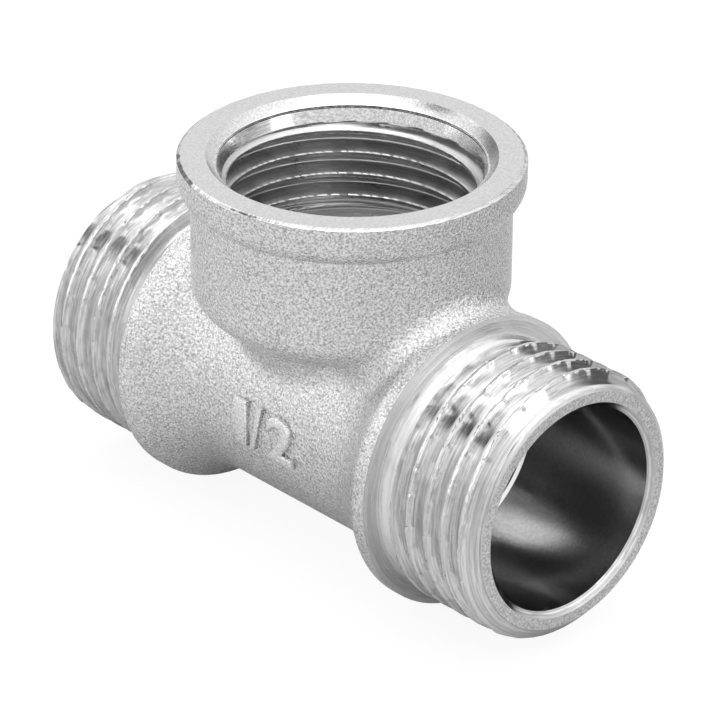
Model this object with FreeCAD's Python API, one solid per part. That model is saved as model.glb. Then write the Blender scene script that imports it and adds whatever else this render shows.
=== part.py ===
import FreeCAD, Part
import math
import os

# Threaded tee for half-inch pipe, forged and machined from one piece of brass.
# The run lies along X with a male thread at each end, and the branch stands
# along +Z with a female thread. The origin is where the two axes cross.
# All sizes are in millimetres and all angles in degrees.

Vector = FreeCAD.Vector

# Half-inch parallel pipe thread: male crests and female roots lie at the major
# radius, and the female bore is turned to the minor radius
thread_major_radius = 10.4775
thread_depth = 1.162
thread_side_angle = 27.5
thread_minor_radius = thread_major_radius - thread_depth

# Walls of the tube, of the flanges that stand proud of the thread, and of the branch
flange_lip = 0.9225
flange_rise = 2.5
tube_wall = 1.4
cup_wall = 1.5225
bead_reach = 1.0
flange_radius = thread_major_radius + flange_lip
tube_radius = flange_radius - flange_rise
cup_radius = thread_major_radius + cup_wall
bead_radius = cup_radius + bead_reach

# Run, measured from the origin towards either end
flange_reach = 1.75
flange_rim_width = 0.9
flange_edge_radius = 0.9
flange_slope_angle = 34.0
flange_sweep_radius = 8.0
flange_face_x = cup_radius + flange_reach
flange_rim_x = flange_face_x - flange_rim_width
spigot_length = 10.25
run_half_length = flange_face_x + spigot_length
relief_edge_gap = 0.1225
relief_corner_width = 1.1
relief_root_depth = 0.12
relief_wall_angle = 60.0
end_chamfer_depth = 1.18
end_chamfer_angle = 47.0

# Waterway of the run
centre_bore_radius = tube_radius - tube_wall
bore_step = 0.5
end_bore_radius = centre_bore_radius + bore_step
end_bore_depth = 12.4
bore_edge_chamfer = 0.33

# Inside of the branch, from its shoulder up to its mouth
shoulder_rise = 0.6
socket_depth = 10.75
branch_shoulder_z = tube_radius + shoulder_rise
branch_height = branch_shoulder_z + socket_depth
branch_bore_inset = 2.1155
branch_bore_radius = thread_minor_radius - branch_bore_inset
branch_relief_height = 1.9
branch_relief_depth = 0.12
mouth_lead = 0.3725
mouth_radius = thread_major_radius + mouth_lead
mouth_chamfer = 0.75
mouth_cone_depth = 1.1
mouth_cone_inset = 0.4

# Outside of the branch
bead_flat_height = 1.65
bead_edge_radius = 1.8
cup_foot_rise = 1.3
cup_wall_foot_z = tube_radius + cup_foot_rise
cup_edge_radius = 2.0
cup_underside_angle = 70.0
neck_sweep_radius = 4.0
neck_taper_angle = 24.0
body_blend_radius = 1.8

beyond = 2 * run_half_length
axis_x = Vector(1, 0, 0)
axis_z = Vector(0, 0, 1)
origin = Vector(0, 0, 0)


def run_point(x, r):
    """Point of the run's outline, r away from its axis."""
    return Vector(x, 0, -r)


def branch_point(r, z):
    """Point of the branch's outline, r away from its axis."""
    return Vector(0, r, z)


def lines(points):
    """Straight edges from each point to the next."""
    return [Part.LineSegment(a, b).toShape() for a, b in zip(points, points[1:])]


def arc(point_at, start, end):
    """Arc edge of the circle that point_at gives for each turn in degrees."""
    points = [point_at(math.radians(turn)) for turn in (start, (start + end) / 2, end)]
    return Part.Arc(*points).toShape()


def revolved(edges, axis):
    """Full turn of a closed outline about an axis through the origin."""
    return Part.Face(Part.Wire(edges)).revolve(origin, axis, 360)


def both_ways(shape, normal):
    """The shape fused with its mirror image across a plane through the origin."""
    return shape.fuse(shape.mirror(origin, normal)).removeSplitter()


def barrel():
    """One half of the forged tube, which sweeps up to a round flange."""
    slope = math.radians(flange_slope_angle)
    edge_r = flange_radius - flange_edge_radius
    straight_rise = (edge_r + flange_edge_radius * math.cos(slope) - tube_radius
                     - flange_sweep_radius * (1 - math.cos(slope)))
    sweep_foot_x = (flange_rim_x - flange_edge_radius * math.sin(slope)
                    - straight_rise / math.tan(slope)
                    - flange_sweep_radius * math.sin(slope))

    def sweep(turn):
        return run_point(sweep_foot_x + flange_sweep_radius * math.sin(turn),
                         tube_radius + flange_sweep_radius * (1 - math.cos(turn)))

    def edge(turn):
        return run_point(flange_rim_x - flange_edge_radius * math.sin(turn),
                         edge_r + flange_edge_radius * math.cos(turn))

    outline = lines([run_point(0, 0), run_point(0, tube_radius), sweep(0)])
    outline.append(arc(sweep, 0, flange_slope_angle))
    outline += lines([sweep(slope), edge(slope)])
    outline.append(arc(edge, flange_slope_angle, 0))
    outline += lines([edge(0), run_point(run_half_length, flange_radius),
                      run_point(run_half_length, 0), run_point(0, 0)])
    return revolved(outline, axis_x)


def cup():
    """Forged branch: bead at the mouth, round wall, underside and neck."""
    bead_foot_z = branch_height - bead_flat_height
    bead_r = bead_radius - bead_edge_radius
    bead_turn = math.degrees(math.acos((cup_radius - bead_r) / bead_edge_radius))
    corner_r = cup_radius - cup_edge_radius
    underside = math.radians(cup_underside_angle)
    taper = math.radians(neck_taper_angle)

    def bead(turn):
        return branch_point(bead_r + bead_edge_radius * math.cos(turn),
                            bead_foot_z - bead_edge_radius * math.sin(turn))

    def corner(turn):
        return branch_point(corner_r + cup_edge_radius * math.cos(turn),
                            cup_wall_foot_z - cup_edge_radius * math.sin(turn))

    sweep_r = corner(underside).y + neck_sweep_radius * math.cos(underside)
    sweep_z = corner(underside).z - neck_sweep_radius * math.sin(underside)

    def sweep(turn):
        return branch_point(sweep_r - neck_sweep_radius * math.cos(turn),
                            sweep_z + neck_sweep_radius * math.sin(turn))

    neck_top = sweep(taper)
    neck_foot = branch_point(neck_top.y - neck_top.z * math.tan(taper), 0)
    outline = lines([branch_point(0, branch_height),
                     branch_point(bead_radius, branch_height), bead(0)])
    outline.append(arc(bead, 0, bead_turn))
    outline += lines([bead(math.radians(bead_turn)), corner(0)])
    outline.append(arc(corner, 0, cup_underside_angle))
    outline.append(arc(sweep, cup_underside_angle, neck_taper_angle))
    outline += lines([neck_top, neck_foot, origin, branch_point(0, branch_height)])
    return revolved(outline, axis_z)


def is_junction(edge):
    """Whether an edge of the quarter body is where the branch meets the run."""
    box = edge.BoundBox
    smallest = min(box.XLength, box.YLength, box.ZLength)
    return edge.Curve.TypeId == "Part::GeomBSplineCurve" and smallest > 0.001


def forging():
    """Solid forged body with the branch blended into the run."""
    quarter = barrel().fuse(cup()).common(
        Part.makeBox(beyond, beyond, 2 * beyond, Vector(0, -beyond, -beyond)))
    junction = [edge for edge in quarter.Edges if is_junction(edge)]
    quarter = quarter.makeFillet(body_blend_radius, junction)
    return both_ways(both_ways(quarter, Vector(0, 1, 0)), axis_x)


def spigot():
    """Turned end of the run, rooted in the flange, at the thread's full diameter."""
    relief_r = thread_minor_radius - relief_root_depth
    relief_x = flange_face_x + relief_corner_width
    wall = math.tan(math.radians(relief_wall_angle))
    crest_x = relief_x + (thread_major_radius - relief_r) / wall
    chamfer_x = run_half_length - end_chamfer_depth / math.tan(math.radians(end_chamfer_angle))
    relief_edge_r = thread_major_radius + relief_edge_gap
    outline = lines([run_point(flange_rim_x, 0), run_point(flange_rim_x, relief_edge_r),
                     run_point(flange_face_x, relief_edge_r),
                     run_point(relief_x, relief_r),
                     run_point(crest_x, thread_major_radius),
                     run_point(chamfer_x, thread_major_radius),
                     run_point(run_half_length, thread_major_radius - end_chamfer_depth),
                     run_point(run_half_length, 0), run_point(flange_rim_x, 0)])
    return revolved(outline, axis_x)


def run_waterway():
    """Bore of one half of the run, wider from the end as far as its step."""
    step_x = run_half_length - end_bore_depth
    edge_r = end_bore_radius + bore_edge_chamfer
    outline = lines([run_point(0, 0), run_point(0, centre_bore_radius),
                     run_point(step_x, centre_bore_radius),
                     run_point(step_x, end_bore_radius),
                     run_point(run_half_length - bore_edge_chamfer, end_bore_radius),
                     run_point(run_half_length, edge_r),
                     run_point(beyond, edge_r), run_point(beyond, 0), run_point(0, 0)])
    return revolved(outline, axis_x)


def branch_waterway():
    """Stepped bore of the branch, with its chamfered mouth and thread relief."""
    relief_r = thread_major_radius + branch_relief_depth
    relief_top_z = branch_shoulder_z + branch_relief_height
    relief_wall = thread_depth + branch_relief_depth
    chamfer_r = mouth_radius - mouth_chamfer
    chamfer_z = branch_height - mouth_chamfer
    cone_r = chamfer_r - mouth_cone_inset
    cone_z = chamfer_z - mouth_cone_depth
    lead = math.tan(math.radians(thread_side_angle)) * relief_wall
    outline = lines([origin, branch_point(branch_bore_radius, 0),
                     branch_point(branch_bore_radius, branch_shoulder_z),
                     branch_point(relief_r, branch_shoulder_z),
                     branch_point(relief_r, relief_top_z - lead),
                     branch_point(thread_minor_radius, relief_top_z),
                     branch_point(thread_minor_radius, cone_z),
                     branch_point(cone_r, cone_z),
                     branch_point(chamfer_r, chamfer_z),
                     branch_point(mouth_radius, branch_height),
                     branch_point(mouth_radius, beyond), branch_point(0, beyond), origin])
    return revolved(outline, axis_z)


def tee_blank():
    """The tee with every surface but its threads."""
    between_faces = Part.makeBox(2 * flange_face_x, 2 * beyond, 2 * beyond,
                                 Vector(-flange_face_x, -beyond, -beyond))
    forged = forging().common(between_faces)
    body = forged.fuse(both_ways(spigot(), axis_x)).removeSplitter()
    body = body.cut(both_ways(run_waterway(), axis_x))
    return body.cut(branch_waterway()).removeSplitter()


if __name__ == "__main__":
    os.makedirs("parts", exist_ok=True)
    tee_blank().exportStep("parts/tee_body.step")
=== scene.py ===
"""Dresses the half-inch threaded tee: forged skin, turned threads, bores and numerals.

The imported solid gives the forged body. The turned ends, the threaded socket of the
branch and the raised size numerals are modelled here in more detail than the solid
has. Sizes are in millimetres unless a name says otherwise, and MM turns them into
metres.
"""

from __future__ import annotations

import logging
import math
from dataclasses import dataclass
from enum import Enum

import bpy
import numpy as np
from mathutils import Matrix, Vector

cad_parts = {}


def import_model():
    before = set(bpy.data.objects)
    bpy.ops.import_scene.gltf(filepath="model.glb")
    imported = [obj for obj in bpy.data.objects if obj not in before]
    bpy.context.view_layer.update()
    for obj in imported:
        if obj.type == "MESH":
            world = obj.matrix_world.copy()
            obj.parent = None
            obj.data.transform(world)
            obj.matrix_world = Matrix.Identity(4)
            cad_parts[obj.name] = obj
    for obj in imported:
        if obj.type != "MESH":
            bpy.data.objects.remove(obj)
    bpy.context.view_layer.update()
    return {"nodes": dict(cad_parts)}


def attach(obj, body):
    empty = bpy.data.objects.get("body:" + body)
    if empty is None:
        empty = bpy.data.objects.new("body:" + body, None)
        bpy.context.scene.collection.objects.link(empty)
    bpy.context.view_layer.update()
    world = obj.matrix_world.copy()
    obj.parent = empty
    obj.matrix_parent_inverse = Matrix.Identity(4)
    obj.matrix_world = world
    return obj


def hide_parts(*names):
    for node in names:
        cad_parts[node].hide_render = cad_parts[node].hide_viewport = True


LOG = logging.getLogger("tee")
MM = 0.001
NODE = "tee_body"
BODY = "root"

# Millimetres below which vertices of a closed piece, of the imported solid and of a
# wound strip are merged
WELD = 0.0005
SOLID_WELD = 0.001
STRIP_WELD = 0.002

# Millimetres within which a vertex or a face counts as lying at a place
SAME_PLACE = 0.01

# Millimetres past a bore's radius within which a face still belongs to the bore
BORE_SLACK = 0.02

# Share of a face's normal along an axis above which it is square to that axis
SQUARE = 0.99

# Places of a mix node's colours, because it has several sockets of each name
MIX_COLOURS = (6, 7)
MIX_RESULT = 2


class Axis(Enum):
    """Axis that a turned piece lies along, as the column of its coordinate."""

    RUN = 0
    BRANCH = 2


# Mesh helpers


def deselect_all() -> None:
    """Leave object mode and deselect every object."""
    if bpy.context.object and bpy.context.object.mode != "OBJECT":
        bpy.ops.object.mode_set(mode="OBJECT")
    bpy.ops.object.select_all(action="DESELECT")


def make_active(obj: bpy.types.Object) -> None:
    """Select one object alone and make it the active one.

    Args:
        obj: The object to work on.
    """
    deselect_all()
    obj.select_set(True)
    bpy.context.view_layer.objects.active = obj


def open_mesh(obj: bpy.types.Object, select: str = "DESELECT") -> None:
    """Enter edit mode on an object.

    Args:
        obj: The object to edit.
        select: Action of the select-all operator once in edit mode.
    """
    make_active(obj)
    bpy.ops.object.mode_set(mode="EDIT")
    bpy.ops.mesh.select_mode(type="VERT")
    bpy.ops.mesh.select_all(action=select)


def close_mesh() -> None:
    """Go back to object mode."""
    bpy.ops.object.mode_set(mode="OBJECT")


def read_points(mesh: bpy.types.Mesh) -> np.ndarray:
    """Read a mesh's vertices.

    Args:
        mesh: The mesh to read.

    Returns:
        An array with one row of x, y, z in millimetres for each vertex.
    """
    flat = np.zeros(len(mesh.vertices) * 3)
    mesh.vertices.foreach_get("co", flat)
    return flat.reshape(-1, 3) / MM


def write_points(mesh: bpy.types.Mesh, points: np.ndarray) -> None:
    """Write a mesh's vertices back.

    Args:
        mesh: The mesh to change.
        points: Rows of x, y, z in millimetres.
    """
    mesh.vertices.foreach_set("co", (points * MM).ravel())
    mesh.update()


def apply_modifier(obj: bpy.types.Object, modifier: bpy.types.Modifier) -> None:
    """Apply one modifier of an object.

    Args:
        obj: The object that has the modifier.
        modifier: The modifier to apply.
    """
    make_active(obj)
    bpy.ops.object.modifier_apply(modifier=modifier.name)


def link_object(name: str, data: bpy.types.ID) -> bpy.types.Object:
    """Add an object to the scene.

    Args:
        name: Name of the new object.
        data: Its mesh, lamp or camera.

    Returns:
        The new object.
    """
    obj = bpy.data.objects.new(name, data)
    bpy.context.scene.collection.objects.link(obj)
    return obj


def lone_vertex(name: str, point: Vector) -> bpy.types.Object:
    """Add an object with one selected vertex, left in edit mode.

    Args:
        name: Name of the new object.
        point: Place of the vertex, in millimetres.

    Returns:
        The new object.
    """
    deselect_all()
    bpy.ops.mesh.primitive_plane_add(size=MM, location=(0, 0, 0))
    obj = bpy.context.object
    obj.name = name
    obj.data.name = name
    open_mesh(obj, "SELECT")
    bpy.ops.mesh.merge(type="CENTER")
    bpy.ops.transform.translate(value=point * MM)
    return obj


def draw_chain(name: str, points: list[Vector]) -> bpy.types.Object:
    """Draw an open chain of edges by extruding one vertex from place to place.

    Args:
        name: Name of the new object.
        points: Places along the chain, in millimetres.

    Returns:
        The object, in object mode.
    """
    obj = lone_vertex(name, points[0])
    for here, there in zip(points, points[1:]):
        bpy.ops.mesh.extrude_region_move(
            TRANSFORM_OT_translate={"value": (there - here) * MM}
        )
    close_mesh()
    return obj


def mend_normals(obj: bpy.types.Object) -> None:
    """Merge doubles and turn all faces outwards.

    Args:
        obj: The closed mesh to mend.
    """
    open_mesh(obj, "SELECT")
    bpy.ops.mesh.remove_doubles(threshold=WELD * MM)
    bpy.ops.mesh.normals_make_consistent(inside=False)
    close_mesh()


def merge_strip(obj: bpy.types.Object) -> None:
    """Merge vertices that share a place, which also clears flattened faces.

    Args:
        obj: The wound surface.
    """
    open_mesh(obj, "SELECT")
    bpy.ops.mesh.remove_doubles(threshold=STRIP_WELD * MM)
    bpy.ops.mesh.dissolve_degenerate(threshold=WELD * MM)
    close_mesh()


def wind_strip(
    obj: bpy.types.Object, axis: Axis, turns: int, steps: int, pitch: float
) -> None:
    """Wind a chain into a right-hand helical surface of several turns.

    Args:
        obj: Object that holds the chain, one pitch long.
        axis: Axis to wind round.
        turns: Whole turns.
        steps: Steps in a turn.
        pitch: Climb in a turn.
    """
    screw = obj.modifiers.new("wind", "SCREW")
    screw.axis = "XYZ"[axis.value]
    screw.angle = 2 * math.pi
    screw.steps = screw.render_steps = steps
    screw.iterations = turns
    screw.screw_offset = pitch * MM
    apply_modifier(obj, screw)
    merge_strip(obj)


def select_rims(obj: bpy.types.Object) -> None:
    """Enter edit mode with the edges of every open rim selected.

    Args:
        obj: The open surface.
    """
    open_mesh(obj)
    bpy.ops.mesh.select_mode(type="EDGE")
    bpy.ops.mesh.select_non_manifold(extend=False)


def select_rim_at(obj: bpy.types.Object, axis: Axis, place: float) -> None:
    """Enter edit mode with only the open rim at one place selected.

    Args:
        obj: The open surface.
        axis: Axis that the rim stands square to.
        place: Where the rim is along the axis.
    """
    select_rims(obj)
    close_mesh()
    near = np.abs(read_points(obj.data)[:, axis.value] - place) < SAME_PLACE
    picked = [
        edge.index
        for edge in obj.data.edges
        if edge.select and all(near[v] for v in edge.vertices)
    ]
    open_mesh(obj)
    bpy.ops.mesh.select_mode(type="EDGE")
    close_mesh()
    for index in picked:
        obj.data.edges[index].select = True
    bpy.ops.object.mode_set(mode="EDIT")


def grow_rim(
    obj: bpy.types.Object, axis: Axis, outline: list[tuple[float, float]]
) -> None:
    """Extrude an open rim along an outline.

    Args:
        obj: The open surface.
        axis: Axis that the rim stands square to.
        outline: Pairs of place and radius, the first being where the rim is.
    """
    select_rim_at(obj, axis, outline[0][0])
    for (place, radius), (next_place, next_radius) in zip(outline, outline[1:]):
        move, pivot = Vector(), Vector()
        move[axis.value] = (next_place - place) * MM
        pivot[axis.value] = next_place * MM
        grow = Vector((1, 1, 1)) * (next_radius / radius)
        grow[axis.value] = 1
        bpy.ops.mesh.extrude_edges_move(TRANSFORM_OT_translate={"value": move})
        bpy.ops.transform.resize(value=grow, center_override=pivot)
    close_mesh()


def join_rims(obj: bpy.types.Object) -> None:
    """Bridge the two open rims that are left, which closes the piece.

    Args:
        obj: The surface with two open rims.
    """
    select_rims(obj)
    bpy.ops.mesh.bridge_edge_loops()
    close_mesh()
    mend_normals(obj)


def smoothstep(values: np.ndarray, low: float, high: float) -> np.ndarray:
    """Ease from 0 at low to 1 at high.

    Args:
        values: Numbers to ease.
        low: Where the result is 0.
        high: Where the result is 1.

    Returns:
        The eased numbers.
    """
    t = np.clip((values - low) / (high - low), 0.0, 1.0)
    return t * t * (3.0 - 2.0 * t)


@dataclass(frozen=True)
class Wobble:
    """Smooth random wobble round a circle, made of sine waves.

    Each wave goes round from lowest to highest times. Their sum over crowd is about 1
    at its greatest, and height says how many millimetres or notches that stands for.
    """

    seed: int
    lowest: int
    highest: int
    height: float = 1.0
    waves: int = 14
    crowd: float = 5.0

    def at(self, angle: np.ndarray) -> np.ndarray:
        """Work the wobble out.

        Args:
            angle: Angles in radians.

        Returns:
            The wobble at each angle.
        """
        draw = np.random.default_rng(self.seed)
        counts = draw.integers(self.lowest, self.highest + 1, self.waves)
        starts = draw.uniform(0, 2 * math.pi, self.waves)
        waves = [np.sin(count * angle + start) for count, start in zip(counts, starts)]
        return self.height * (np.sum(waves, axis=0) / self.crowd)


def turned_coordinates(
    points: np.ndarray, axis: Axis
) -> tuple[np.ndarray, np.ndarray, np.ndarray]:
    """Split points into height along an axis, radius and angle round it.

    Args:
        points: Rows of x, y, z.
        axis: The axis of the turned piece.

    Returns:
        Height, radius and angle in radians, one of each a point.
    """
    across, up = ((1, 2), (0, 1))[axis is Axis.BRANCH]
    radius = np.hypot(points[:, across], points[:, up])
    angle = np.arctan2(points[:, up], points[:, across])
    return points[:, axis.value], radius, angle


def placed_points(
    height: np.ndarray, radius: np.ndarray, angle: np.ndarray, axis: Axis
) -> np.ndarray:
    """Put height, radius and angle back together.

    Args:
        height: Places along the axis.
        radius: Distances from the axis.
        angle: Angles round the axis in radians.
        axis: The axis of the turned piece.

    Returns:
        Rows of x, y, z.
    """
    across, up = radius * np.cos(angle), radius * np.sin(angle)
    if axis is Axis.BRANCH:
        return np.column_stack((across, up, height))
    return np.column_stack((height, across, up))


# Finishes


class NodeTree:
    """Short hand for building the nodes of a material or of the world."""

    def __init__(self, owner: bpy.types.ID) -> None:
        """Start with no nodes.

        Args:
            owner: The material or the world to build.
        """
        owner.use_nodes = True
        self.nodes = owner.node_tree.nodes
        self.links = owner.node_tree.links
        self.nodes.clear()

    def add(
        self, kind: str, inputs: dict[str | int, object], **settings: object
    ) -> bpy.types.Node:
        """Add a node.

        Args:
            kind: Its type, without the word ShaderNode in front.
            inputs: Values or sockets for its inputs, by their names or places.
            settings: Its other properties.

        Returns:
            The node.
        """
        node = self.nodes.new("ShaderNode" + kind)
        for name, value in settings.items():
            setattr(node, name, value)
        for key, value in inputs.items():
            if isinstance(value, bpy.types.NodeSocket):
                self.links.new(value, node.inputs[key])
            else:
                node.inputs[key].default_value = value
        return node

    def math(self, operation: str, *values: object) -> bpy.types.NodeSocket:
        """Add a math node.

        Args:
            operation: The node's operation.
            values: Numbers or sockets for its inputs, in order.

        Returns:
            Its output.
        """
        node = self.add("Math", dict(enumerate(values)), operation=operation)
        return node.outputs["Value"]

    def lean(
        self, direction: bpy.types.NodeSocket, toward: Vector | tuple[float, float, float]
    ) -> bpy.types.NodeSocket:
        """Measure how far a vector goes in one direction.

        Args:
            direction: The vector.
            toward: The direction.

        Returns:
            Their dot product.
        """
        node = self.add("VectorMath", {0: direction, 1: toward}, operation="DOT_PRODUCT")
        return node.outputs["Value"]

    def spread(
        self,
        value: bpy.types.NodeSocket,
        start: tuple[float, float],
        end: tuple[float, float] = (0.0, 1.0),
        easing: str = "LINEAR",
    ) -> bpy.types.NodeSocket:
        """Spread a range of values onto another, clamped.

        Args:
            value: The socket to spread.
            start: Low and high end of its range.
            end: What it gives at them.
            easing: LINEAR, or SMOOTHSTEP for soft ends.

        Returns:
            The spread value.
        """
        limits = zip(("From Min", "From Max", "To Min", "To Max"), (*start, *end))
        inputs = {"Value": value, **dict(limits)}
        return self.add("MapRange", inputs, interpolation_type=easing).outputs["Result"]

    def mix_greys(
        self, share: bpy.types.NodeSocket, first: object, second: object
    ) -> bpy.types.NodeSocket:
        """Mix two greys.

        Args:
            share: Share of the second one.
            first: Grey level, or the socket that gives it.
            second: The same for the other grey.

        Returns:
            The mixed colour.
        """
        inputs = {"Factor": share}
        for key, grey in zip(MIX_COLOURS, (first, second)):
            inputs[key] = (grey, grey, grey, 1) if isinstance(grey, float) else grey
        return self.add("Mix", inputs, data_type="RGBA").outputs[MIX_RESULT]

    def camera_ray(self) -> bpy.types.NodeSocket:
        """Tell rays of the camera, which give 1, from mirrored ones."""
        return self.add("LightPath", {}).outputs["Is Camera Ray"]

    def show(
        self, output: str, share: object, first: bpy.types.Node, second: bpy.types.Node
    ) -> None:
        """Mix two shaders and send them to the output.

        Args:
            output: Type of the output node.
            share: Share of the second shader.
            first: Node of the first shader.
            second: Node of the second shader.
        """
        inputs = {"Fac": share, 1: first.outputs[0], 2: second.outputs[0]}
        mixer = self.add("MixShader", inputs)
        self.add(output, {"Surface": mixer.outputs["Shader"]})


class MetalTree(NodeTree):
    """Nodes of one metal finish, whose patterns follow Object coordinates."""

    def __init__(self, material: bpy.types.Material, metal: float, roughness: float) -> None:
        """Add the metal's shader and its output.

        Args:
            material: The material to build.
            metal: How metallic it is, up to 1.
            roughness: Its plain roughness.
        """
        super().__init__(material)
        inputs = {"Metallic": metal, "Roughness": roughness}
        self.shader = self.add("BsdfPrincipled", inputs)
        self.add("OutputMaterial", {"Surface": self.shader.outputs["BSDF"]})
        self.place = self.add("TexCoord", {}).outputs["Object"]

    def noise(
        self, scale: float, detail: float = 3.0, place: bpy.types.NodeSocket | None = None
    ) -> bpy.types.NodeSocket:
        """Add a noise texture.

        Args:
            scale: Waves in a metre.
            detail: Octaves.
            place: Coordinates, or None for the object's own.

        Returns:
            Its grey output.
        """
        inputs = {"Scale": scale, "Detail": detail, "Vector": place or self.place}
        return self.add("TexNoise", inputs).outputs["Fac"]

    def cells(self, scale: float) -> bpy.types.NodeSocket:
        """Add a cell texture.

        Args:
            scale: Cells in a metre.

        Returns:
            Distance to the nearest cell's middle.
        """
        inputs = {"Scale": scale, "Vector": self.place}
        return self.add("TexVoronoi", inputs, feature="SMOOTH_F1").outputs["Distance"]

    def drive(self, name: str, value: bpy.types.NodeSocket) -> None:
        """Drive one of the shader's inputs.

        Args:
            name: Name of the input.
            value: The socket that drives it.
        """
        self.links.new(value, self.shader.inputs[name])

    def bump(self, height: bpy.types.NodeSocket, depth: float, strength: float) -> None:
        """Dent the surface.

        Args:
            height: Height from 0 to 1.
            depth: Millimetres that a height of 1 stands for.
            strength: Share of the dent that is shown.
        """
        inputs = {"Strength": strength, "Distance": depth * MM, "Height": height}
        self.drive("Normal", self.add("Bump", inputs).outputs["Normal"])


@dataclass(frozen=True)
class Nickel:
    """Values and steps that all nickel finishes share.

    Dark and light are the greys at the two ends of a pattern, and span is the stretch
    of the pattern that they are spread over. Shinier and duller say how far a pattern
    takes the roughness below and above its plain value.
    """

    name: str
    dark: float
    light: float
    roughness: float
    metal: float = 1.0
    span: tuple[float, float] = (0.3, 0.7)
    shinier: float = 0.0
    duller: float = 0.0

    def start(self) -> MetalTree:
        """Make the material with its plain values, ready for detail."""
        return MetalTree(bpy.data.materials.new(self.name), self.metal, self.roughness)

    def tint(self, tree: MetalTree, pattern: bpy.types.NodeSocket) -> None:
        """Let the grey follow a pattern.

        Args:
            tree: The material's nodes.
            pattern: The pattern.
        """
        share = tree.spread(pattern, self.span)
        tree.drive("Base Color", tree.mix_greys(share, self.dark, self.light))

    def dull(
        self, tree: MetalTree, pattern: bpy.types.NodeSocket, span: tuple[float, float]
    ) -> None:
        """Let the roughness follow a pattern.

        Args:
            tree: The material's nodes.
            pattern: The pattern.
            span: Stretch of it that the roughness is spread over.
        """
        ends = (self.roughness - self.shinier, self.roughness + self.duller)
        tree.drive("Roughness", tree.spread(pattern, span, ends))

    def made(self) -> bpy.types.Material:
        """The material of this finish once built."""
        return bpy.data.materials[self.name]


@dataclass(frozen=True)
class BlastedNickel(Nickel):
    """Forged skin: shot-blasted to a fine pebbled grain, then plated."""

    name: str = "blasted_nickel"
    dark: float = 0.42
    light: float = 0.95
    roughness: float = 0.31
    span: tuple[float, float] = (0.3, 0.64)
    shinier: float = 0.14
    duller: float = 0.1
    grain: float = 4300.0
    grain_depth: float = 0.065
    pebble_share: float = 0.8
    fine_ratio: float = 1.7
    fine_span: tuple[float, float] = (0.35, 0.65)
    speckle_ratio: float = 1.4
    speckle_detail: float = 1.5

    def build(self) -> None:
        """Build the material from pebbles, a finer noise and speckles."""
        tree = self.start()
        pebbles = tree.math("MULTIPLY", tree.cells(self.grain), self.pebble_share)
        fine = tree.noise(self.grain * self.fine_ratio)
        tree.bump(tree.math("ADD", pebbles, fine), self.grain_depth, 1.0)
        self.tint(tree, tree.noise(self.grain * self.speckle_ratio, self.speckle_detail))
        self.dull(tree, fine, self.fine_span)


@dataclass(frozen=True)
class TurnedNickel(Nickel):
    """Turned surface: fine tool lines that run round an axis and drift a little."""

    name: str = "turned_nickel"
    dark: float = 0.5
    light: float = 0.93
    roughness: float = 0.15
    shinier: float = 0.05
    duller: float = 0.08
    axis: Axis = Axis.RUN
    lines: float = 6500.0
    line_depth: float = 0.008
    line_strength: float = 0.6
    drift_scale: float = 500.0
    drift_detail: float = 2.0
    drift_reach: float = 0.4

    def build(self) -> None:
        """Build the material from a noise of place along and distance from the axis."""
        tree = self.start()
        split = tree.add("SeparateXYZ", {"Vector": tree.place})
        along = "XYZ"[self.axis.value]
        sides = [split.outputs[name] for name in "XYZ" if name != along]
        squares = [tree.math("MULTIPLY", side, side) for side in sides]
        drift = tree.noise(self.drift_scale, self.drift_detail)
        inputs = {
            "X": split.outputs[along],
            "Y": tree.math("SQRT", tree.math("ADD", *squares)),
            "Z": tree.math("MULTIPLY", drift, self.drift_reach * MM),
        }
        place = tree.add("CombineXYZ", inputs).outputs["Vector"]
        lines = tree.noise(self.lines, place=place)
        tree.bump(lines, self.line_depth, self.line_strength)
        self.tint(tree, lines)
        self.dull(tree, drift, self.span)


@dataclass(frozen=True)
class GrainyNickel(Nickel):
    """Sawn or faced ring: satin, with a fine even grain."""

    name: str = "grainy_nickel"
    dark: float = 0.5
    light: float = 0.8
    roughness: float = 0.38
    span: tuple[float, float] = (0.35, 0.65)
    grain: float = 5200.0
    grain_depth: float = 0.02
    grain_strength: float = 0.5

    def build(self) -> None:
        """Build the material from one noise."""
        tree = self.start()
        fine = tree.noise(self.grain)
        tree.bump(fine, self.grain_depth, self.grain_strength)
        self.tint(tree, fine)


@dataclass(frozen=True)
class BoreNickel(GrainyNickel):
    """Inside of the waterway, in darker greys than the skin."""

    name: str = "bore_nickel"
    dark: float = 0.4
    light: float = 0.5
    roughness: float = 0.2
    span: tuple[float, float] = (0.3, 0.7)
    grain: float = 4200.0
    grain_depth: float = 0.008
    grain_strength: float = 0.4


SKIN = BlastedNickel()
# Lighter copy of the skin on the numerals' tops, a painted highlight
TOP_HIGHLIGHT = BlastedNickel(
    name="top_highlight_nickel", dark=0.66, light=0.98, roughness=0.3, grain_depth=0.05
)
# Darker copy of the skin at the numerals' foot, painted shade in the crease
CREASE_SHADE = BlastedNickel(name="crease_shade_nickel", dark=0.34, light=0.68)
THREAD = TurnedNickel()
SOCKET = TurnedNickel(
    name="socket_nickel", axis=Axis.BRANCH, dark=0.5, light=0.76, roughness=0.3
)
COLLAR = TurnedNickel(
    name="collar_nickel", dark=0.7, light=0.95, metal=0.75, line_depth=0.05
)
BEVEL = GrainyNickel(name="bevel_nickel", dark=0.6, light=0.78, roughness=0.25)
FACE = GrainyNickel(name="faced_nickel", dark=0.58, light=0.7)
END = GrainyNickel(name="sawn_nickel", dark=0.52, light=0.9)
# Near-white finish on the steps in the bore, a painted highlight that gives the bright
# crescent
STEP_HIGHLIGHT = GrainyNickel(name="step_highlight_nickel", dark=0.92, light=0.97, roughness=0.25)
BORE = BoreNickel()
CORE = BoreNickel(name="core_nickel", dark=0.26, light=0.34, roughness=0.3)


# Pieces


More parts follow.
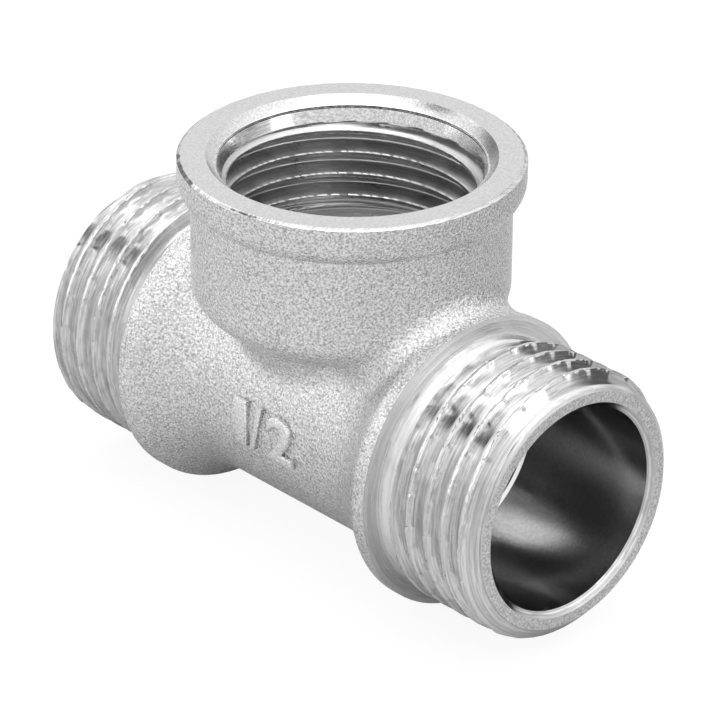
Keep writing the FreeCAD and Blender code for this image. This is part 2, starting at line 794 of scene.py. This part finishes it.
@dataclass
class Piece:
    """Finishes, shading and hand-over, which every piece of the tee shares."""

    finishes: tuple[Nickel, ...] = ()
    smooth_below: float = 40.0

    def pick_finish(self, centres: np.ndarray, normals: np.ndarray) -> np.ndarray:
        """Pick the first finish for every face, unless the piece has its own rule.

        Args:
            centres: Faces' centres in millimetres.
            normals: Faces' normals, which aren't used here.

        Returns:
            The place of each face's finish in the piece's list.
        """
        return np.zeros(len(centres))

    def dress(self, obj: bpy.types.Object) -> None:
        """Give each face its finish, and shade smooth all but the sharp edges.

        Args:
            obj: The piece.
        """
        obj.data.materials.clear()
        for finish in self.finishes:
            obj.data.materials.append(finish.made())
        count = len(obj.data.polygons)
        centres, normals = np.zeros(count * 3), np.zeros(count * 3)
        obj.data.polygons.foreach_get("center", centres)
        obj.data.polygons.foreach_get("normal", normals)
        picked = self.pick_finish(centres.reshape(-1, 3) / MM, normals.reshape(-1, 3))
        obj.data.polygons.foreach_set("material_index", picked.astype(np.int32))
        obj.data.update()
        make_active(obj)
        bpy.ops.object.shade_smooth_by_angle(angle=math.radians(self.smooth_below))

    def hand_over(self, obj: bpy.types.Object) -> None:
        """Hand the finished piece over to the frame.

        Args:
            obj: The piece, at the origin.
        """
        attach(obj, BODY)
        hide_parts(NODE)
        triangles = sum(len(face.vertices) - 2 for face in obj.data.polygons)
        LOG.info("%s: %d triangles", obj.name, triangles)


@dataclass
class ForgedBody(Piece):
    """Forged skin of the tube, flanges and branch, cut back where turned parts sit."""

    finishes: tuple[Nickel, ...] = (SKIN, COLLAR, BORE, STEP_HIGHLIGHT, CORE)
    smooth_below: float = 32.0
    flange_face: float = 13.74
    flange_ring_depth: float = 0.1
    branch_top: float = 20.05
    socket_radius: float = 10.85
    socket_floor: float = 9.45
    plug_rise: float = 1.0
    end_bore_radius: float = 8.0
    branch_bore_radius: float = 7.2
    step_x: float = 11.6
    step_length: float = 0.2
    step_tilt: float = 0.3
    core_radius: float = 7.5
    core_slack: float = 0.1
    core_edge_radius: float = 7.78
    reach: float = 40.0
    segments: int = 384

    def copy_solid(self, node: bpy.types.Object) -> bpy.types.Object:
        """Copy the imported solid's mesh and merge its loose triangles.

        Args:
            node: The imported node.

        Returns:
            The merged copy.
        """
        obj = link_object("forged_body", node.data.copy())
        make_active(obj)
        bpy.ops.mesh.customdata_custom_splitnormals_clear()
        open_mesh(obj, "SELECT")
        bpy.ops.mesh.remove_doubles(threshold=SOLID_WELD * MM)
        close_mesh()
        return obj

    def cutters(self) -> list[bpy.types.Object]:
        """Make the blocks that trim the copy.

        Returns:
            Two end blocks, a block over the branch and the socket's plug.
        """
        made = []
        end, over = self.flange_face + self.reach / 2, self.branch_top + self.reach / 2
        for middle in (Vector((-end, 0, 0)), Vector((end, 0, 0)), Vector((0, 0, over))):
            bpy.ops.mesh.primitive_cube_add(size=self.reach * MM, location=middle * MM)
            made.append(bpy.context.object)
        depth = self.branch_top + self.plug_rise - self.socket_floor
        bpy.ops.mesh.primitive_cylinder_add(
            vertices=self.segments,
            radius=self.socket_radius * MM,
            depth=depth * MM,
            location=(0, 0, (self.socket_floor + depth / 2) * MM),
        )
        made.append(bpy.context.object)
        return made

    def trim(self, obj: bpy.types.Object) -> None:
        """Cut the copy back with every block.

        Args:
            obj: The merged copy.
        """
        deselect_all()
        for block in self.cutters():
            cut = obj.modifiers.new("trim", "BOOLEAN")
            cut.operation = "DIFFERENCE"
            cut.solver = "EXACT"
            cut.object = block
            apply_modifier(obj, cut)
            bpy.data.objects.remove(block)

    def slope_steps(self, obj: bpy.types.Object) -> None:
        """Turn the flat steps in the bore into cones, as a drill's tip leaves them.

        Args:
            obj: The merged copy.
        """
        points = read_points(obj.data)
        along, radius, _ = turned_coordinates(points, Axis.RUN)
        at_step = np.abs(np.abs(along) - self.step_x) < SAME_PLACE
        edge = at_step & (radius < self.core_radius + self.core_slack)
        points[edge, 0] -= np.sign(along[edge]) * self.step_length
        points[edge, 1:] *= self.core_edge_radius / self.core_radius
        write_points(obj.data, points)

    def pick_finish(self, centres: np.ndarray, normals: np.ndarray) -> np.ndarray:
        """Pick skin, faced ring or bore for each face.

        A ring's only face has its middle on the axis, so the rings come after the bores.

        Args:
            centres: Faces' centres.
            normals: Faces' normals.

        Returns:
            0 for skin, 1 for the faced rings, 2 for bores, 3 for the steps in the bore,
            painted near white as a highlight, and 4 for the narrower bore between them.
        """
        picked = np.zeros(len(centres))
        along, tilt = np.abs(centres[:, 0]), np.abs(normals[:, 0])
        _, from_run, _ = turned_coordinates(centres, Axis.RUN)
        height, from_branch, _ = turned_coordinates(centres, Axis.BRANCH)
        bore = from_run < self.end_bore_radius + BORE_SLACK
        throat = (from_branch < self.branch_bore_radius + BORE_SLACK) & (height > 0)
        picked[throat | bore] = 2
        picked[bore & (along < self.step_x)] = 4
        step = np.abs(along - self.step_x + self.step_length / 2) < self.step_length / 2
        # The steps take the near-white finish of the painted highlight
        picked[bore & step & (tilt > self.step_tilt)] = 3
        picked[(tilt > SQUARE) & (along > self.flange_face - self.flange_ring_depth)] = 1
        return picked

    def build(self, node: bpy.types.Object) -> None:
        """Build, dress and hand over the forged body.

        Args:
            node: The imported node.
        """
        obj = self.copy_solid(node)
        self.slope_steps(obj)
        self.trim(obj)
        mend_normals(obj)
        self.dress(obj)
        self.hand_over(obj)


@dataclass(frozen=True)
class ScrewForm:
    """Whitworth form: crest, flanks and root over one pitch.

    The root's curve is given by distances from the flank's foot and shares of the depth.
    """

    pitch: float = 1.814
    depth: float = 1.162
    flank: float = math.radians(27.5)
    flat: float = 0.13
    lip: float = 0.02
    crest_share: float = 0.7
    crest_drop: float = 0.012
    flank_shares: tuple[float, ...] = (0.12, 0.25, 0.4, 0.55, 0.7, 0.84)
    root_curve: tuple[tuple[float, float], ...] = ((-0.01, 0.955), (0.06, 0.992))

    def section(self) -> list[tuple[float, float]]:
        """Points over one pitch, from root to root.

        Returns:
            Pairs of distance from the crest's middle and drop below the crest.
        """
        foot = self.flat + self.depth * math.tan(self.flank)
        crest = [(0.0, self.lip), (self.flat * self.crest_share, 0.0)]
        crest.append((self.flat, self.crest_drop))
        flank = [
            (self.flat + (foot - self.flat) * share, self.depth * share)
            for share in self.flank_shares
        ]
        root = [(foot + off, self.depth * share) for off, share in self.root_curve]
        side = [*crest, *flank, *root, (self.pitch / 2, self.depth)]
        return [(-off, drop) for off, drop in reversed(side)] + side[1:]


@dataclass(frozen=True)
class Nicks:
    """Short notches across the crests that keep sealing yarn from slipping.

    A crest's metal leans along the run between two notches, is pushed up as a burr
    beside each, and is rough all over. Spans are distances from the crest's middle
    over which a change fades out, and lengths round a crest are taken at arc_radius.
    """

    per_turn: int = 28
    first_x: float = 16.6
    last_x: float = 23.2
    arc_radius: float = 10.4
    depth: float = 0.09
    width: float = 0.11
    floor_share: float = 0.35
    span: tuple[float, float] = (0.1, 0.36)
    sway: float = 0.1
    sway_span: tuple[float, float] = (0.15, 0.5)
    sway_end: float = 0.86
    twist: float = 0.4
    spacing: Wobble = Wobble(11, 3, 11, 0.16)
    burr: float = 0.02
    burr_place: float = 1.5
    burr_width: float = 0.12
    roughness: Wobble = Wobble(12, 60, 150, 0.02)
    grit: float = 0.012
    grit_seed: int = 11

    def phase(self, along: np.ndarray, angle: np.ndarray) -> np.ndarray:
        """Count of notches passed, a whole number at each notch.

        Args:
            along: Places along the run.
            angle: Angles round the run.

        Returns:
            The count at each point.
        """
        step = 2 * math.pi / self.per_turn
        return angle / step + self.spacing.at(angle + along * self.twist)

    def cut(self, along: np.ndarray) -> np.ndarray:
        """Whether each place along the run lies between the first and the last notch."""
        return (along > self.first_x) & (along < self.last_x)

    def shift(self, along: np.ndarray, off: np.ndarray, angle: np.ndarray) -> np.ndarray:
        """How far each point of a crest leans along the run between two notches.

        Args:
            along: Places along the run.
            off: Distances from the crest's middle.
            angle: Angles round the run.

        Returns:
            Millimetres to add to the place along the run.
        """
        phase = self.phase(along, angle)
        share = phase - np.floor(phase)
        lean = share - smoothstep(share, self.sway_end, 1.0) - self.sway_end / 2
        on_crest = 1.0 - smoothstep(np.abs(off), *self.sway_span)
        return self.sway * on_crest * lean * self.cut(along)

    def drop(self, along: np.ndarray, off: np.ndarray, angle: np.ndarray) -> np.ndarray:
        """How far each point of the thread sinks into a notch or rises as a burr.

        Args:
            along: Places along the run.
            off: Distances from the crest's middle.
            angle: Angles round the run.

        Returns:
            Millimetres to take off the radius.
        """
        phase = self.phase(along, angle)
        off_notch = np.abs(phase - np.round(phase))
        near = off_notch * 2 * math.pi / self.per_turn * self.arc_radius
        on_crest = 1.0 - smoothstep(np.abs(off), *self.span)
        floor = self.width * self.floor_share
        notch = self.depth * (1.0 - smoothstep(near, floor, self.width))
        beside = (near - self.width * self.burr_place) / self.burr_width
        burr = self.burr * np.exp(-(beside**2))
        draw = np.random.default_rng(self.grit_seed)
        rough = self.roughness.at(angle + along) + draw.normal(0.0, self.grit, len(angle))
        return on_crest * (self.cut(along) * (notch - burr) + rough)


@dataclass
class TurnedEnd(Piece):
    """Male end: relief, thread with nicks, end chamfer, sawn face and bore."""

    finishes: tuple[Nickel, ...] = (THREAD, END, BORE, COLLAR)
    form: ScrewForm = ScrewForm()
    nicks: Nicks = Nicks()
    crest_radius: float = 10.4775
    crest_x: float = 17.40
    crest_angle: float = math.pi
    turns: int = 8
    turns_before_crest: int = 3
    steps: int = 320
    base_x: float = 13.72
    base_lift: float = 0.001
    relief_radius: float = 1.1
    relief_floor: float = 9.2
    relief_x: float = 14.85
    relief_steps: int = 12
    relief_slack: float = 0.05
    wall_slope: float = math.tan(math.radians(60))
    chamfer_x: float = 22.90
    face_x: float = 24.0
    face_radius: float = 9.2975
    face_ring: float = 0.4
    bore_radius: float = 8.0
    bore_chamfer: float = 0.45
    bore_ring: float = 4.0
    bore_tilt: float = 0.1
    left_turn: float = math.radians(-57.6)

    def strip(self) -> bpy.types.Object:
        """Wind one pitch of the form round the run.

        Returns:
            An open helical surface.
        """
        start = self.crest_x - self.form.pitch * self.turns_before_crest
        chain = [
            Vector((start + off, -(self.crest_radius - drop), 0))
            for off, drop in self.form.section()
        ]
        obj = draw_chain("right_thread_end", chain)
        wind_strip(obj, Axis.RUN, self.turns, self.steps, self.form.pitch)
        return obj

    def envelope(self, along: np.ndarray) -> np.ndarray:
        """Radius that nothing on the thread stands above.

        Args:
            along: Places along the run.

        Returns:
            The radius at each place.
        """
        wall = self.relief_floor + (along - self.relief_x) * self.wall_slope
        slope = (self.crest_radius - self.face_radius) / (self.face_x - self.chamfer_x)
        chamfer = self.crest_radius - (along - self.chamfer_x) * slope
        inner = np.maximum(wall, self.relief_floor)
        return np.minimum(np.minimum(inner, chamfer), self.crest_radius)

    def trim_to_envelope(self, obj: bpy.types.Object) -> None:
        """Nick the crests and turn the strip down to the envelope.

        Args:
            obj: The helical surface.
        """
        along, radius, angle = turned_coordinates(read_points(obj.data), Axis.RUN)
        pitch = self.form.pitch
        lead = along - self.crest_x - pitch * (angle - self.crest_angle) / (2 * math.pi)
        off = np.mod(lead + pitch / 2, pitch) - pitch / 2
        radius = radius - self.nicks.drop(along, off, angle)
        along = along + self.nicks.shift(along, off, angle)
        radius = np.minimum(radius, self.envelope(along))
        radius[along <= self.relief_x] = self.relief_floor
        radius[along >= self.face_x] = self.face_radius
        along = np.clip(along, self.relief_x, self.face_x)
        write_points(obj.data, placed_points(along, radius, angle, Axis.RUN))
        merge_strip(obj)

    def relief_outline(self) -> list[tuple[float, float]]:
        """Rounded corner of the relief, from its floor up to the flange's face.

        Returns:
            Pairs of place and radius.
        """
        r = self.relief_radius
        outline = [(self.relief_x, self.relief_floor)]
        for step in range(1, self.relief_steps + 1):
            turn = math.radians(90 * step / self.relief_steps)
            rise = r * (1 - math.cos(turn))
            outline.append((self.relief_x - r * math.sin(turn), self.relief_floor + rise))
        outline.append((self.base_x, self.relief_floor + r + self.base_lift))
        return outline

    def bore_outline(self) -> list[tuple[float, float]]:
        """Sawn face, bore chamfer and bore, back to the base.

        Returns:
            Pairs of place and radius.
        """
        rim = self.bore_radius + self.bore_chamfer
        return [
            (self.face_x, self.face_radius),
            (self.face_x, rim + self.face_ring),
            (self.face_x, rim),
            (self.face_x - self.bore_chamfer, self.bore_radius),
            (self.face_x - self.bore_ring, self.bore_radius),
            (self.base_x, self.bore_radius),
        ]

    def pick_finish(self, centres: np.ndarray, normals: np.ndarray) -> np.ndarray:
        """Pick thread, sawn face or bore for each face.

        Args:
            centres: Faces' centres.
            normals: Faces' normals.

        Returns:
            0 for turned faces, 1 for the sawn face, 2 for the bore and 3 for the relief.
        """
        picked = np.zeros(len(centres))
        along, radius, _ = turned_coordinates(centres, Axis.RUN)
        picked[(along > self.face_x - SAME_PLACE) & (normals[:, 0] > SQUARE)] = 1
        bore = radius < self.bore_radius + BORE_SLACK
        bore &= np.abs(normals[:, 0]) < self.bore_tilt
        picked[bore] = 2
        picked[(along < self.relief_x - self.relief_slack) & ~bore] = 3
        return picked

    def build(self) -> None:
        """Build, dress and hand over both ends."""
        right = self.strip()
        self.trim_to_envelope(right)
        grow_rim(right, Axis.RUN, self.relief_outline())
        grow_rim(right, Axis.RUN, self.bore_outline())
        join_rims(right)
        self.dress(right)
        left = link_object("left_thread_end", right.data.copy())
        left.data.transform(Matrix.Rotation(math.pi, 4, "Z"))
        left.data.transform(Matrix.Rotation(self.left_turn, 4, "X"))
        for obj in (right, left):
            self.hand_over(obj)


@dataclass
class BranchSocket(Piece):
    """Female thread of the branch, with its mouth and the faced ring round it.

    Each step of a tool groove's form is a climb up the mouth and a depth into it.
    """

    finishes: tuple[Nickel, ...] = (SOCKET, FACE, THREAD, BEVEL)
    form: ScrewForm = ScrewForm()
    root_radius: float = 10.4775
    crest_angle: float = math.radians(137)
    crest_z: float = 10.444
    crest_wobble: Wobble = Wobble(5, 40, 110, 0.012)
    crest_twist: float = 0.7
    turns: int = 8
    steps: int = 320
    floor_z: float = 9.45
    cut_z: float = 10.0
    relief_radius: float = 10.5975
    relief_z: float = 10.75
    relief_ease: tuple[float, float] = (-0.05, 0.6)
    thread_top_z: float = 18.4
    thread_fade: float = 0.35
    cone_foot_radius: float = 9.7
    cone_top_z: float = 19.38
    cone_top_radius: float = 10.056
    groove_form: tuple[tuple[float, float], ...] = ((0.015, 0.14), (0.065, 0.14), (0.08, 0.02))
    groove_climb: float = 0.12
    groove_growth: float = 0.03
    bevel_foot_z: float = 19.62
    mouth_radius: float = 10.85
    mouth_ring: float = 0.3
    face_z: float = 20.25
    face_radius: float = 12.72
    face_ring: float = 0.2
    edge_drop: float = 0.03
    edge_reach: float = 0.015
    bevel_radius: float = 12.97
    bevel_z: float = 20.06
    rim_wobbles: tuple[Wobble, ...] = (Wobble(3, 30, 90), Wobble(4, 90, 155, 0.6))
    rim_reach: float = 0.035
    rim_rise: float = 0.03
    rim_slack: float = 0.05
    skirt_z: float = 19.6
    sleeve_radius: float = 10.84

    def strip(self) -> bpy.types.Object:
        """Wind one pitch of the form round the branch, crests inwards.

        Returns:
            An open helical surface.
        """
        minor = self.root_radius - self.form.depth
        start = self.crest_z - self.form.pitch
        across, up = math.cos(self.crest_angle), math.sin(self.crest_angle)
        chain = [
            Vector(((minor + drop) * across, (minor + drop) * up, start + off))
            for off, drop in self.form.section()
        ]
        obj = draw_chain("branch_socket", chain)
        wind_strip(obj, Axis.BRANCH, self.turns, self.steps, self.form.pitch)
        return obj

    def open_up(self, obj: bpy.types.Object) -> None:
        """Open the strip out to the relief below and the mouth above.

        Args:
            obj: The helical surface.
        """
        height, radius, angle = turned_coordinates(read_points(obj.data), Axis.BRANCH)
        climb = (height - self.thread_top_z) / (self.cone_top_z - self.thread_top_z)
        cone = self.cone_foot_radius + climb * (self.cone_top_radius - self.cone_foot_radius)
        fade = smoothstep(height, self.thread_top_z - self.thread_fade, self.thread_top_z)
        radius = radius + fade * (cone - radius)
        below, above = self.relief_ease
        relief = 1.0 - smoothstep(height, self.relief_z + below, self.relief_z + above)
        radius = np.maximum(radius, radius + relief * (self.relief_radius - radius))
        rough = self.crest_wobble.at(angle + height * self.crest_twist)
        radius = radius + rough * (1.0 - fade) * (1.0 - relief)
        radius[height <= self.cut_z] = self.relief_radius
        radius[height >= self.cone_top_z] = self.cone_top_radius
        height = np.clip(height, self.cut_z, self.cone_top_z)
        write_points(obj.data, placed_points(height, radius, angle, Axis.BRANCH))
        merge_strip(obj)

    def mouth_outline(self) -> list[tuple[float, float]]:
        """Cone with two tool grooves, bevel, faced ring and hidden sleeve.

        Returns:
            Pairs of place and radius, from the thread's top out and down to the floor.
        """
        cone = (self.cone_top_z, self.cone_top_radius)
        second = (cone[0] + self.groove_climb, cone[1] + self.groove_growth)
        grooves = [
            (foot_z + climb, radius + depth)
            for foot_z, radius in (cone, second)
            for climb, depth in self.groove_form
        ]
        return [
            cone,
            *grooves,
            (self.bevel_foot_z, self.mouth_radius - (self.face_z - self.bevel_foot_z)),
            (self.face_z, self.mouth_radius),
            (self.face_z, self.mouth_radius + self.mouth_ring),
            (self.face_z, self.face_radius - self.face_ring),
            (self.face_z, self.face_radius),
            (self.face_z - self.edge_drop, self.face_radius + self.edge_reach),
            (self.bevel_z, self.bevel_radius),
            (self.skirt_z, self.bevel_radius),
            (self.skirt_z, self.sleeve_radius),
            (self.floor_z, self.sleeve_radius),
        ]

    def roughen_rim(self, obj: bpy.types.Object) -> None:
        """Make the bevel round the faced ring ragged, as turning leaves it.

        Args:
            obj: The closed piece.
        """
        height, radius, angle = turned_coordinates(read_points(obj.data), Axis.BRANCH)
        ragged = sum(wobble.at(angle) for wobble in self.rim_wobbles)
        rim = radius > self.face_radius - self.rim_slack
        rim &= height > self.bevel_z - self.rim_slack
        inner = rim & (height > self.face_z - self.rim_slack)
        radius = np.where(inner, radius + self.rim_reach * ragged, radius)
        height = np.where(rim & ~inner, height + self.rim_rise * ragged, height)
        write_points(obj.data, placed_points(height, radius, angle, Axis.BRANCH))

    def pick_finish(self, centres: np.ndarray, normals: np.ndarray) -> np.ndarray:
        """Pick thread, faced ring or mouth for each face.

        Args:
            centres: Faces' centres.
            normals: Faces' normals.

        Returns:
            0 for the thread, 1 for the faced ring, 2 for the mouth and 3 for its bevel.
        """
        picked = np.zeros(len(centres))
        height, radius, _ = turned_coordinates(centres, Axis.BRANCH)
        picked[height > self.thread_top_z] = 2
        picked[(radius < self.mouth_radius) & (height > self.bevel_foot_z)] = 3
        picked[(height > self.face_z - SAME_PLACE) & (normals[:, 2] > SQUARE)] = 1
        return picked

    def build(self) -> None:
        """Build, dress and hand over the socket."""
        obj = self.strip()
        self.open_up(obj)
        below = [(self.cut_z, self.relief_radius), (self.floor_z, self.relief_radius)]
        grow_rim(obj, Axis.BRANCH, below)
        grow_rim(obj, Axis.BRANCH, self.mouth_outline())
        join_rims(obj)
        self.roughen_rim(obj)
        self.dress(obj)
        self.hand_over(obj)


@dataclass(frozen=True)
class Glyph:
    """One raised character and the stretch of the run that it fills."""

    text: str
    left: float
    right: float


@dataclass
class SizeNumerals(Piece):
    """Raised numerals of the thread size on the side of the tube."""

    finishes: tuple[Nickel, ...] = (TOP_HIGHLIGHT, CREASE_SHADE)
    smooth_below: float = 50.0
    glyphs: tuple[Glyph, ...] = (
        Glyph("1", -3.1, -1.6),
        Glyph("/", -1.35, 0.05),
        Glyph("2", 0.65, 3.5),
    )
    tube_radius: float = 8.9
    foot: float = -1.75
    top: float = 1.95
    rise: float = 0.42
    sink: float = 0.5
    crease_shade_rise: float = 0.16
    cast_size: float = 5.0
    cast_depth: float = 0.1
    offset: float = 0.03
    bevel: float = 0.16
    bevel_steps: int = 3
    curve_steps: int = 8

    def cast_glyph(self, glyph: Glyph) -> bpy.types.Object:
        """Raise one character on the tube.

        Args:
            glyph: The character and its place.

        Returns:
            The closed mesh of the character.
        """
        deselect_all()
        bpy.ops.object.text_add(location=(0, 0, 0))
        obj = bpy.context.object
        obj.name = "size_numerals"
        obj.data.body = glyph.text
        obj.data.size = self.cast_size * MM
        obj.data.extrude = self.cast_depth * MM
        obj.data.offset = self.offset * MM
        obj.data.bevel_depth = self.bevel * MM
        obj.data.bevel_resolution = self.bevel_steps
        obj.data.resolution_u = self.curve_steps
        make_active(obj)
        bpy.ops.object.convert(target="MESH")
        obj.data.name = "size_numerals"
        points = read_points(obj.data)
        low, high = points.min(axis=0), points.max(axis=0)
        share = (points - low) / (high - low)
        along = glyph.left + share[:, 0] * (glyph.right - glyph.left)
        up = self.foot + share[:, 1] * (self.top - self.foot)
        radius = self.tube_radius - self.sink + share[:, 2] * (self.sink + self.rise)
        angle = math.pi - up / self.tube_radius
        write_points(obj.data, placed_points(along, radius, angle, Axis.RUN))
        mend_normals(obj)
        return obj

    def pick_finish(self, centres: np.ndarray, normals: np.ndarray) -> np.ndarray:
        """Pick the top, painted light as a highlight, or the foot, painted dark as shade, for
        each face.

        Args:
            centres: Faces' centres.
            normals: Faces' normals, which aren't needed.

        Returns:
            0 for the top with its painted highlight and 1 for the foot with its painted shade.
        """
        _, radius, _ = turned_coordinates(centres, Axis.RUN)
        # Faces near the tube take the painted shade of the crease
        return np.where(radius < self.tube_radius + self.crease_shade_rise, 1, 0)

    def build(self) -> None:
        """Build, dress and hand over the numerals."""
        made = [self.cast_glyph(glyph) for glyph in self.glyphs]
        make_active(made[0])
        for obj in made:
            obj.select_set(True)
        bpy.ops.object.join()
        self.dress(made[0])
        self.hand_over(made[0])


# Studio


@dataclass(frozen=True)
class Lamp:
    """One soft square lamp, placed and sized in metres."""

    name: str
    place: tuple[float, float, float]
    size: float
    watts: float


@dataclass(frozen=True)
class DarkPatch:
    """Dark part of the room round the object, which bare metal mirrors.

    The edges are cosines of the angle from the middle: at the inner one the patch
    is at its darkest, and at the outer one it has faded out.
    """

    toward: tuple[float, float, float]
    inner: float
    outer: float
    share: float


@dataclass
class Studio:
    """Pale floor, white surround, soft lamps and the camera.

    The floor glows white to the camera. The metal mirrors it as a darker grey, painted shade,
    that gets darker still with the way from the object, measured in metres in one direction.
    The room's greys go with height, from 0 straight below to 1 straight above.
    """

    floor_z: float = -11.41
    floor_size: float = 6.0
    floor_grey: float = 0.85
    floor_glow: float = 1.06
    glow_share: float = 0.85
    mirrored_toward: tuple[float, float, float] = (0.7, 0.71, 0.0)
    mirrored_way: tuple[float, float] = (0.01, 0.05)
    # Greys of the floor in the metal's mirror, painted as shade
    mirrored_shade_greys: tuple[float, float] = (0.6, 0.44)
    room: tuple[tuple[float, float], ...] = (
        (0.0, 0.6), (0.5, 0.64), (0.55, 0.88), (0.7, 0.92), (0.8, 1.1), (0.92, 1.4)
    )
    azimuth: float = 47.152
    elevation: float = 27.528
    roll: float = 0.51
    distance: float = 340.417
    target: tuple[float, float, float] = (1.032, 0.011, 3.429)
    focal_pixels: float = 4514.771
    picture_pixels: float = 720.0
    sensor: float = 36.0
    nearest: float = 0.01
    farthest: float = 20.0
    lamps: tuple[Lamp, ...] = (
        Lamp("overhead_lamp", (-0.02, 0.02, 0.45), 0.30, 0.3),
        Lamp("left_lamp", (-0.42, -0.30, 0.20), 0.35, 0.2),
        Lamp("right_lamp", (0.45, 0.17, 0.15), 0.16, 0.12),
    )
    patches: tuple[DarkPatch, ...] = (
        DarkPatch((-0.46, -0.44, 0.77), 0.994, 0.982, 0.96),
        DarkPatch((0.45, 0.89, 0.03), 0.985, 0.93, 0.85),
        DarkPatch((-0.95, 0.08, 0.24), 0.985, 0.94, 0.75),
    )

    def light(self) -> None:
        """Add the soft lamps, each aimed at the object."""
        for lamp in self.lamps:
            data = bpy.data.lights.new(lamp.name, "AREA")
            data.size = lamp.size
            data.energy = lamp.watts
            obj = link_object(lamp.name, data)
            obj.location = lamp.place
            obj.rotation_euler = (-Vector(lamp.place)).to_track_quat("-Z", "Y").to_euler()
            obj.visible_camera = False

    def surround(self) -> None:
        """Make the world white to the camera and softly graded to the metal."""
        world = bpy.data.worlds.new("studio")
        bpy.context.scene.world = world
        tree = NodeTree(world)
        direction = tree.add("TexCoord", {}).outputs["Generated"]
        height = tree.add("SeparateXYZ", {"Vector": direction}).outputs["Z"]
        ramp = tree.add("ValToRGB", {"Fac": tree.spread(height, (-1.0, 1.0))})
        for at, _ in self.room[1:-1]:
            ramp.color_ramp.elements.new(at)
        for element, (at, grey) in zip(ramp.color_ramp.elements, self.room):
            element.position = at
            element.color = (grey, grey, grey, 1)
        level = 1.0
        for patch in self.patches:
            level = tree.math("MULTIPLY", level, self.darkened(tree, direction, patch))
        room = tree.add("Background", {"Color": ramp.outputs["Color"], "Strength": level})
        seen = tree.add("Background", {"Color": (1, 1, 1, 1)})
        tree.show("OutputWorld", tree.camera_ray(), room, seen)

    def darkened(
        self, tree: NodeTree, direction: bpy.types.NodeSocket, patch: DarkPatch
    ) -> bpy.types.NodeSocket:
        """Measure how bright one dark patch leaves the room.

        Args:
            tree: The world's nodes.
            direction: Where the ray goes.
            patch: The dark part.

        Returns:
            1 away from the patch, and less in it.
        """
        lean = tree.lean(direction, Vector(patch.toward).normalized())
        edge, levels = (patch.outer, patch.inner), (1.0, 1.0 - patch.share)
        return tree.spread(lean, edge, levels, "SMOOTHSTEP")

    def floor(self) -> None:
        """Add the pale floor, which is near white and keeps a soft shadow, and is painted a
        darker grey as shade where the metal mirrors it.
        """
        deselect_all()
        place = (0, 0, self.floor_z * MM)
        bpy.ops.mesh.primitive_plane_add(size=self.floor_size, location=place)
        obj = bpy.context.object
        obj.name = "pale_floor"
        material = bpy.data.materials.new("pale_floor")
        tree = NodeTree(material)
        place = tree.add("TexCoord", {}).outputs["Object"]
        # Painted shade: to mirrored rays the floor is a darker grey, darker still away from
        # the object in one direction
        way = tree.lean(place, self.mirrored_toward)
        mirrored = tree.spread(way, self.mirrored_way, self.mirrored_shade_greys)
        to_camera = tree.camera_ray()
        grey = tree.mix_greys(to_camera, mirrored, self.floor_grey)
        matt = tree.add("BsdfDiffuse", {"Color": grey})
        glow = tree.add("Emission", {"Strength": self.floor_glow})
        share = tree.math("MULTIPLY", to_camera, self.glow_share)
        tree.show("OutputMaterial", share, matt, glow)
        obj.data.materials.append(material)

    def camera(self) -> None:
        """Add the camera at the photo's angle."""
        turn, lift, roll = map(math.radians, (self.azimuth, self.elevation, self.roll))
        flat = math.cos(lift)
        back = Vector((math.sin(turn) * flat, -math.cos(turn) * flat, math.sin(lift)))
        level = Vector((math.cos(turn), math.sin(turn), 0))
        upright = back.cross(level)
        right = level * math.cos(roll) + upright * math.sin(roll)
        up = upright * math.cos(roll) - level * math.sin(roll)
        data = bpy.data.cameras.new("camera")
        data.sensor_width = self.sensor
        data.lens = self.focal_pixels / self.picture_pixels * self.sensor
        data.clip_start = self.nearest
        data.clip_end = self.farthest
        obj = link_object("camera", data)
        turned = Matrix((right, up, back)).transposed().to_4x4()
        place = (Vector(self.target) + back * self.distance) * MM
        obj.matrix_world = Matrix.Translation(place) @ turned
        bpy.context.scene.camera = obj

    def build(self) -> None:
        """Set up the whole studio."""
        bpy.context.scene.view_settings.view_transform = "Standard"
        self.light()
        self.surround()
        self.floor()
        self.camera()


def main() -> None:
    """Build every piece."""
    logging.basicConfig(level=logging.INFO, format="%(name)s %(message)s")
    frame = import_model()
    for finish in (
        SKIN, THREAD, SOCKET, BEVEL, FACE, COLLAR, END, STEP_HIGHLIGHT, BORE, CORE, TOP_HIGHLIGHT, CREASE_SHADE
    ):
        finish.build()
    ForgedBody().build(frame["nodes"][NODE])
    TurnedEnd().build()
    BranchSocket().build()
    SizeNumerals().build()
    Studio().build()


if __name__ == "__main__":
    main()
